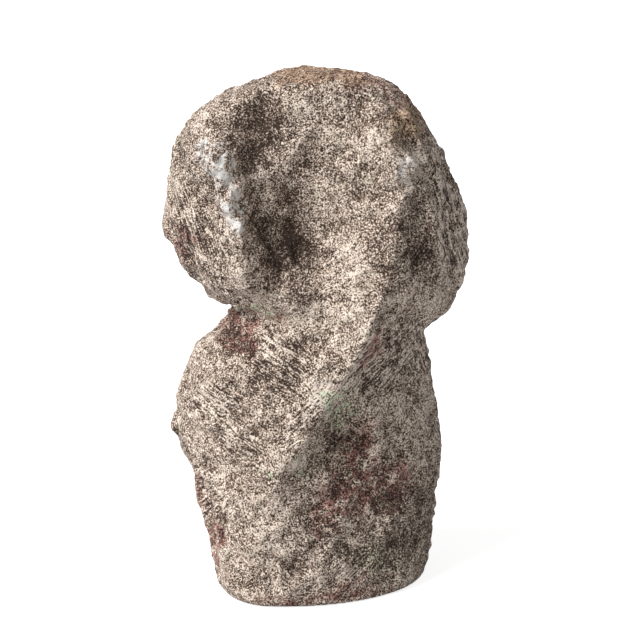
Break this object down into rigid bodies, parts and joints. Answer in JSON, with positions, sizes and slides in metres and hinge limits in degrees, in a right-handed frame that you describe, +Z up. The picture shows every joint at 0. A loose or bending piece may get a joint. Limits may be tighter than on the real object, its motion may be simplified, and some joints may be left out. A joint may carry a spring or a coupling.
{
  "type": "stone jizo statue",
  "caption": "Weathered stone jizo in one carved piece: a broad hollow-faced boulder head over a robed body with a slanting edge, standing on a flat foot.",
  "frame": {"origin": "on the surface the statue stands on, under the middle of its overall box", "axes": "+Z up from the underside to the crown, the carved front faces -Y, and +X is to the right of the front view"},
  "size_m": [0.1948, 0.1428, 0.329],
  "materials": {
    "stone": "rough weathered speckled stone: cream grains over dark brown-grey, maroon stains, a few grey-green specks, and a whitish quartz patch on the left cheek"
  },
  "bodies": {
    "root": {"statue": "stone"}
  },
  "joints": []
}
